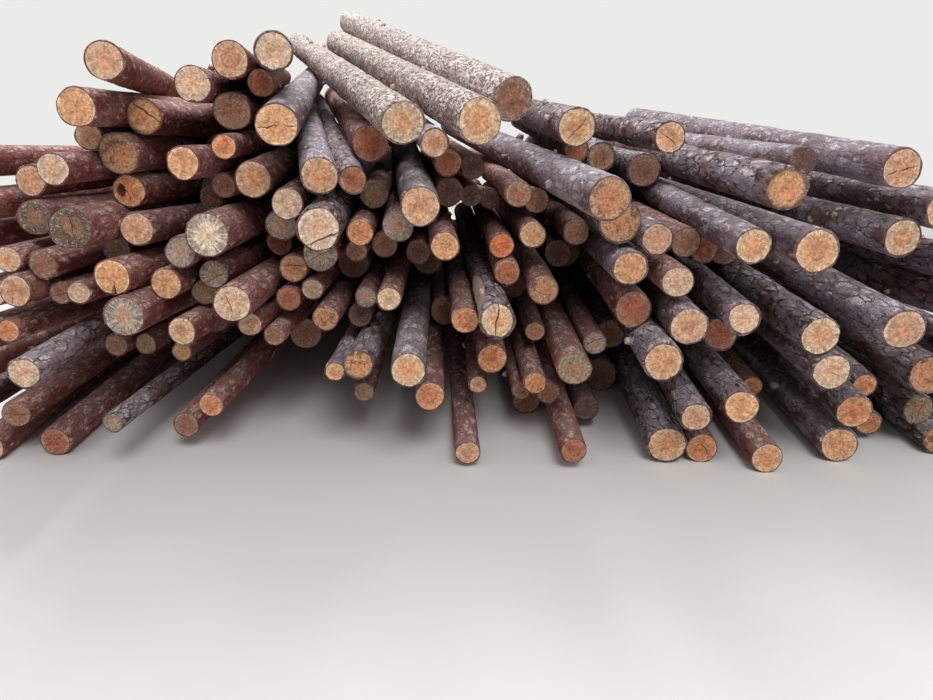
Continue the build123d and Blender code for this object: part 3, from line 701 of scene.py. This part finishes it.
# Both patterns: a noise is its scale, detail and roughness, a pair is where a step starts and ends, and tones
# are on a screen's scale.
barkPattern = {
    "drawn": 0.45, "fineDrawn": 0.55, "cellDrawn": 0.8,
    "broad": (7.0, 3.0, 0.6), "mid": (30.0, 4.0, 0.70), "fine": (80.0, 3.0, 0.70),
    "cells": 27.0, "cellBend": (0.045, -0.035, 0.055),
    "split": 0.005, "splitBroad": 0.36, "splitGain": 1.2, "splitLeast": 0.05, "splitBroken": (0.40, 0.56),
    "wornMid": 0.3, "worn": (0.58, 0.70),
    # the upward faces' step and its shares of pale tone and pale flakes are painted light from above
    "top": (0.1, 0.95), "paintedTopLight": 0.30,
    "flakeStart": 0.72, "flakeGain": -0.14, "flakeSoft": 0.05, "flakeMid": 0.7, "flakeFine": 0.4,
    "flakePaintedTopLight": 0.06, "flake": 0.8,
    "grit": -0.65, "gritGain": 1.75,
    "fleckMean": 0.7, "fleckGain": 0.14, "fleckBroad": 0.2, "fleck": (-0.43, -0.48),
    "fleckLeast": 0.35, "fleckFlaky": 0.5, "fleckTone": (74, 50, 52),
    # the furrows' near-black tone is painted shade
    "furrow": 0.86, "furrowTone": (50, 38, 40),
    "bareMid": 0.5, "bare": (0.62, 0.80), "bareTones": ((176, 146, 128), (232, 212, 196)),
    "cut": (0.1, 0.6), "cutShare": 0.7, "cutTones": ((72, 46, 40), (146, 98, 74)),
    "rough": 0.9, "fineHigh": 0.45, "midHigh": 0.7, "furrowDeep": -0.45, "bump": 0.008,
}


def barkMaterial():
    g, s = Graph("log_bark"), barkPattern
    place, shift = g.read("logPlace", "Vector"), g.read("logShift", "Vector")
    (base, plates), (patch, flakes) = g.readTone("barkTone"), g.readTone("barkPatch")
    # the palest tone: dry flakes, and painted light where the bark faces up
    dustAndLitTop = g.read("barkDustAndLitTop", "Color")
    along = g.vector("ADD", g.stretch(place, s["drawn"]), shift)
    broad, mid = g.noise(along, s["broad"]), g.noise(along, s["mid"])
    fine = g.noise(g.vector("ADD", g.stretch(place, s["fineDrawn"]), shift), s["fine"])
    # furrows on the lines between bent cells, wider in some places and broken off in others
    drift = g.minus(g.plus(mid, broad), 1.0)
    bent = g.vector("ADD", along, g.vector("SCALE", s["cellBend"], drift))
    edge = g.cells(g.stretch(bent, s["cellDrawn"]), s["cells"])
    width = g.calc("MAXIMUM", g.times(g.minus(broad, s["splitBroad"]), s["splitGain"]), s["splitLeast"])
    split = g.without(g.step(edge, s["split"], width))
    furrow = g.times(split, g.step(mid, *s["splitBroken"]), plates)
    # outer plates, the redder bark where they have come off, and pale dry flakes, with upward faces painted
    # paler and more flaky as painted light from above
    worn = g.step(g.plus(broad, g.times(mid, s["wornMid"])), *s["worn"])
    colour = g.mix(worn, base, patch)
    # painted light: the more a face looks up, the more pale tone and pale flakes it gets
    normal = g.tree.nodes.new("ShaderNodeNewGeometry").outputs["Normal"]
    top = g.step(g.vector("DOT_PRODUCT", normal, (0.0, 0.0, 1.0)), *s["top"])
    flakeLow = g.line(flakes, s["flakeStart"], s["flakeGain"])
    flaky = g.plus(g.times(mid, s["flakeMid"]), g.times(fine, s["flakeFine"]), g.times(top, s["flakePaintedTopLight"]))
    flake = g.step(flaky, g.minus(flakeLow, s["flakeSoft"]), g.plus(flakeLow, s["flakeSoft"]))
    colour = g.mix(g.times(flake, s["flake"]), colour, dustAndLitTop)
    colour = g.mix(g.times(top, s["paintedTopLight"]), colour, dustAndLitTop)
    colour = g.vector("SCALE", colour, g.line(g.plus(fine, mid), s["grit"], s["gritGain"]))
    # dark flecks, most of them on flaky bark, then the furrows, darkened with painted shade
    flecks = g.plus(fine, g.times(g.minus(flakes, s["fleckMean"]), s["fleckGain"]))
    fleck = g.step(g.minus(g.times(broad, s["fleckBroad"]), flecks), *s["fleck"])
    dark = g.times(fleck, g.line(flakes, s["fleckLeast"], s["fleckFlaky"]))
    colour = g.mix(dark, colour, tone(s["fleckTone"]))
    colour = g.mix(g.times(furrow, s["furrow"]), colour, tone(s["furrowTone"]))
    # wood laid bare: broken stubs and strips
    bare = g.step(g.plus(g.read("bareShare"), g.times(mid, s["bareMid"])), *s["bare"])
    colour = g.mix(bare, colour, g.mix(fine, *(tone(t) for t in s["bareTones"])))
    # broken bark at the cut
    cut = g.times(g.step(g.read("barkCut"), *s["cut"]), s["cutShare"])
    colour = g.mix(cut, colour, g.mix(mid, *(tone(t) for t in s["cutTones"])))
    height = g.plus(g.times(fine, s["fineHigh"]), g.times(mid, s["midHigh"]),
                    g.times(furrow, s["furrowDeep"]))
    return g.close(colour, s["rough"], height, s["bump"])


woodPattern = {
    "wobble": (13.0, 2.0, 0.55), "blot": (46.0, 4.0, 0.65), "grain": (112.0, 3.0, 0.75),
    "rayTurn": 4.2, "rayOut": 7.0, "streak": (1.3, 4.0, 0.68),
    "reachStreak": 0.55, "reachWobble": 0.5, "heartEdge": (-0.24, 0.22), "heart": 0.78,
    "rimBlot": 0.5, "rimEdge": (0.80, 1.0), "rim": 0.8,
    "ringTurns": 62.0, "ringWobble": 1.1, "ringWay": (1.0, 0.31, 0.17), "rings": (1.0, 3.0, 0.75),
    "contrast": {"rings": (0.52, 0.98), "blot": (0.12, 1.78), "grain": (-0.08, 2.16), "streak": (0.56, 0.90)},
    "cast": (1.0, 1.02, 1.14),
    "mouldStart": 0.76, "mouldGain": -0.28, "mouldSoft": 0.14, "mouldStreak": 1.1, "mouldBlot": 0.4,
    "mouldBase": -0.25, "mouldOut": (0.2, 1.0), "mouldRim": 0.16, "mould": 0.74, "mouldTone": (96, 80, 70),
    "dirtStart": 0.70, "dirtGain": -0.20, "dirtSoft": 0.08, "dirtBlot": 0.7, "dirtWobble": 0.35,
    "dirt": 0.75, "dirtTone": (84, 58, 46),
    "paleMould": 0.5, "paleEdge": (0.91, 0.98), "pale": 0.8, "paleTone": (222, 212, 198),
    "crackBend": 0.5, "crackRough": 0.10, "crackEnd": (1.15, 0.4), "crackBroken": (0.34, 0.52),
    "crackSoft": 0.020, "crackLeast": (0.001, 0.006), "hollowBlot": 0.3, "hollowEdge": (0.4, 0.8),
    "deep": 0.85, "deepTone": (46, 32, 26),
    "sawWay": (1.0, 0.35, 0.0), "sawLines": 700.0, "sawBend": 16.0,
    "rough": 0.85, "grainHigh": 0.4, "sawHigh": 0.10, "blotHigh": 0.9, "crackDeep": -1.6, "bump": 0.0022,
}


def crackShare(g, s, place, share, wobble, blot):
    # one long drying crack across the end, fading towards the bark and broken in places
    line = g.read("crackLine", "Vector")
    parts = g.tree.nodes.new("ShaderNodeSeparateXYZ")
    g.put(parts.inputs[0], line)
    across = g.minus(g.vector("DOT_PRODUCT", g.stretch(line, 0.0), place), g.read("crackOff"))
    across = g.plus(across, g.swing(wobble, s["crackBend"]), g.swing(blot, s["crackRough"]))
    half = g.times(parts.outputs["Z"], g.step(share, *s["crackEnd"]), g.step(wobble, *s["crackBroken"]))
    gap = g.without(g.step(g.calc("ABSOLUTE", across), half, g.plus(half, s["crackSoft"])))
    return g.times(gap, g.step(half, *s["crackLeast"]))


def woodMaterial():
    g, s = Graph("log_cut_end"), woodPattern
    place, shift = g.read("logPlace", "Vector"), g.read("logShift", "Vector")
    (wood, dirt), (heart, core), (rim, mould) = (g.readTone(k) for k in ("endWood", "endHeart", "endRim"))
    share = g.read("outShare")
    flat = g.stretch(place, 0.0)
    here = g.vector("ADD", place, shift)
    wobble, blot, grain = (g.noise(here, s[k]) for k in ("wobble", "blot", "grain"))
    rays = g.vector("SCALE", g.vector("NORMALIZE", flat), s["rayTurn"])
    rays = g.vector("ADD", rays, g.vector("SCALE", flat, s["rayOut"]))
    streak = g.noise(g.vector("ADD", rays, shift), s["streak"])
    # heart, wood and rim
    reach = g.plus(share, g.swing(streak, s["reachStreak"]), g.swing(wobble, s["reachWobble"]))
    inner = g.without(g.step(reach, *(g.plus(core, edge) for edge in s["heartEdge"])))
    colour = g.mix(g.times(inner, s["heart"]), wood, heart)
    outer = g.step(g.plus(share, g.swing(blot, s["rimBlot"])), *s["rimEdge"])
    colour = g.mix(g.times(outer, s["rim"]), colour, rim)
    # year rings, speckle and rays, all unevenly dark
    turns = g.plus(g.times(g.vector("LENGTH", flat), s["ringTurns"]), g.times(wobble, s["ringWobble"]))
    rings = g.noise(g.vector("ADD", g.vector("SCALE", s["ringWay"], turns), shift), s["rings"])
    marks = {"rings": rings, "blot": blot, "grain": grain, "streak": streak}
    light = g.times(*(g.line(marks[k], *s["contrast"][k]) for k in marks))
    colour = g.vector("MULTIPLY", g.vector("SCALE", colour, light), s["cast"])
    # mould in streaks from the rim inwards
    mouldLow = g.line(mould, s["mouldStart"], s["mouldGain"])
    mouldBase = g.plus(g.times(streak, s["mouldStreak"]), g.times(blot, s["mouldBlot"]), s["mouldBase"],
                       g.times(g.step(share, *s["mouldOut"]), s["mouldRim"]))
    mouldy = g.step(mouldBase, mouldLow, g.plus(mouldLow, s["mouldSoft"]))
    colour = g.mix(g.times(mouldy, s["mould"]), colour, tone(s["mouldTone"]))
    # dirt, and pale spots in the mould
    dirtLow = g.line(dirt, s["dirtStart"], s["dirtGain"])
    dirtBase = g.plus(g.times(blot, s["dirtBlot"]), g.times(wobble, s["dirtWobble"]))
    dirty = g.step(dirtBase, dirtLow, g.plus(dirtLow, s["dirtSoft"]))
    colour = g.mix(g.times(dirty, s["dirt"]), colour, tone(s["dirtTone"]))
    pale = g.step(g.plus(grain, g.times(mouldBase, s["paleMould"])), *s["paleEdge"])
    colour = g.mix(g.times(pale, mould, s["pale"]), colour, tone(s["paleTone"]))
    # the long crack, and hollows, both painted dark as shade in them
    crack = crackShare(g, s, place, share, wobble, blot)
    hollow = g.step(g.plus(g.read("hollowShare"), g.times(blot, s["hollowBlot"])), *s["hollowEdge"])
    deep = g.times(g.calc("MAXIMUM", crack, hollow), s["deep"])
    colour = g.mix(deep, colour, tone(s["deepTone"]))
    # saw marks run straight over the face
    bar = g.times(g.vector("DOT_PRODUCT", place, s["sawWay"]), s["sawLines"])
    saw = g.calc("SINE", g.plus(bar, g.times(blot, s["sawBend"])))
    height = g.plus(g.times(grain, s["grainHigh"]), g.times(saw, s["sawHigh"]), g.times(blot, s["blotHigh"]),
                    g.times(crack, s["crackDeep"]))
    return g.close(colour, s["rough"], height, s["bump"])


barkFinish = barkMaterial()
woodFinish = woodMaterial()
print("finishes made")

triangles = 0
salt = 11                       # the first log's number, from which its noises and draws follow
for name in sorted(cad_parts):
    piece, count = makeNode(name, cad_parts[name], salt)
    salt += count
    piece.data.calc_loop_triangles()
    triangles += len(piece.data.loop_triangles)
    print("dressed", name, count, "logs", len(piece.data.loop_triangles), "triangles")
print("triangles in all", triangles)

# Floor, in metres. The floor fades into the backdrop's tone from fadeNear to fadeFar, for the camera only.
floorSetup = {"radius": 60.0, "sides": 64, "tone": (232, 231, 228), "fadeNear": 5.0, "fadeFar": 12.0,
              "rough": 0.95, "shine": 0.1}
backdropSetup = {"tone": (236, 236, 234), "light": 0.52}
lamps = {
    "top_light": {"power": 400.0, "size": 3.0, "place": (-2.0, 2.5, 7.0), "target": (0, 0, 1.0)},
    "front_fill": {"power": 540.0, "size": 5.0, "place": (1.5, -9.0, 8.5), "target": (0, -1.0, 0.9)},
}
cameraSetup = {
    "focalPixels": 701.0, "imageWidth": 933, "sensor": 36.0, "seesTo": 200.0,
    "place": (-0.1318, -4.7875, 1.3997), "tiltDown": 18.75,
}


def makeFloor():
    bm = bmesh.new()
    bmesh.ops.create_circle(bm, cap_ends=True, segments=floorSetup["sides"], radius=floorSetup["radius"])
    data = bpy.data.meshes.new("floor")
    bm.to_mesh(data)
    bm.free()
    floor = bpy.data.objects.new("floor", data)
    bpy.context.scene.collection.objects.link(floor)
    g = Graph("floor_pale")
    g.shader.inputs["Base Color"].default_value = tone(floorSetup["tone"])
    g.shader.inputs["Roughness"].default_value = floorSetup["rough"]
    g.shader.inputs["Specular IOR Level"].default_value = floorSetup["shine"]
    glow = g.tree.nodes.new("ShaderNodeEmission")
    glow.inputs["Color"].default_value = tone(backdropSetup["tone"])
    blend = g.tree.nodes.new("ShaderNodeMixShader")
    where = g.tree.nodes.new("ShaderNodeTexCoord").outputs["Object"]
    far = g.step(g.vector("LENGTH", where), floorSetup["fadeNear"], floorSetup["fadeFar"])
    seen = g.tree.nodes.new("ShaderNodeLightPath").outputs["Is Camera Ray"]
    g.put(blend.inputs[0], g.times(far, seen))
    g.put(blend.inputs[1], g.shader.outputs[0])
    g.put(blend.inputs[2], glow.outputs[0])
    g.put(g.output.inputs[0], blend.outputs[0])
    data.materials.append(g.material)


def makeBackdrop():
    # soft white light, and the backdrop's tone where the camera sees it
    world = bpy.data.worlds.new("studio")
    bpy.context.scene.world = world
    world.use_nodes = True
    tree = world.node_tree
    tree.nodes.clear()
    output = tree.nodes.new("ShaderNodeOutputWorld")
    soft = tree.nodes.new("ShaderNodeBackground")
    soft.inputs["Color"].default_value = (1.0, 1.0, 1.0, 1.0)
    soft.inputs["Strength"].default_value = backdropSetup["light"]
    seen = tree.nodes.new("ShaderNodeBackground")
    seen.inputs["Color"].default_value = tone(backdropSetup["tone"])
    path = tree.nodes.new("ShaderNodeLightPath")
    blend = tree.nodes.new("ShaderNodeMixShader")
    tree.links.new(path.outputs["Is Camera Ray"], blend.inputs[0])
    tree.links.new(soft.outputs[0], blend.inputs[1])
    tree.links.new(seen.outputs[0], blend.inputs[2])
    tree.links.new(blend.outputs[0], output.inputs[0])


def makeLamp(name, setup):
    data = bpy.data.lights.new(name, "AREA")
    data.shape = "DISK"
    data.energy = setup["power"]
    data.size = setup["size"]
    lamp = bpy.data.objects.new(name, data)
    lamp.location = setup["place"]
    aim = Vector(setup["target"]) - Vector(setup["place"])
    lamp.rotation_euler = aim.to_track_quat("-Z", "Y").to_euler()
    bpy.context.scene.collection.objects.link(lamp)


def makeCamera():
    data = bpy.data.cameras.new("camera")
    data.sensor_width = cameraSetup["sensor"]
    data.lens = cameraSetup["focalPixels"] / cameraSetup["imageWidth"] * cameraSetup["sensor"]
    data.clip_end = cameraSetup["seesTo"]
    camera = bpy.data.objects.new("camera", data)
    camera.location = cameraSetup["place"]
    camera.rotation_euler = (math.radians(90 - cameraSetup["tiltDown"]), 0, 0)
    bpy.context.scene.collection.objects.link(camera)
    bpy.context.scene.camera = camera


makeFloor()
makeBackdrop()
for name, setup in lamps.items():
    makeLamp(name, setup)
makeCamera()
bpy.context.scene.view_settings.view_transform = "Standard"
print("stage made")
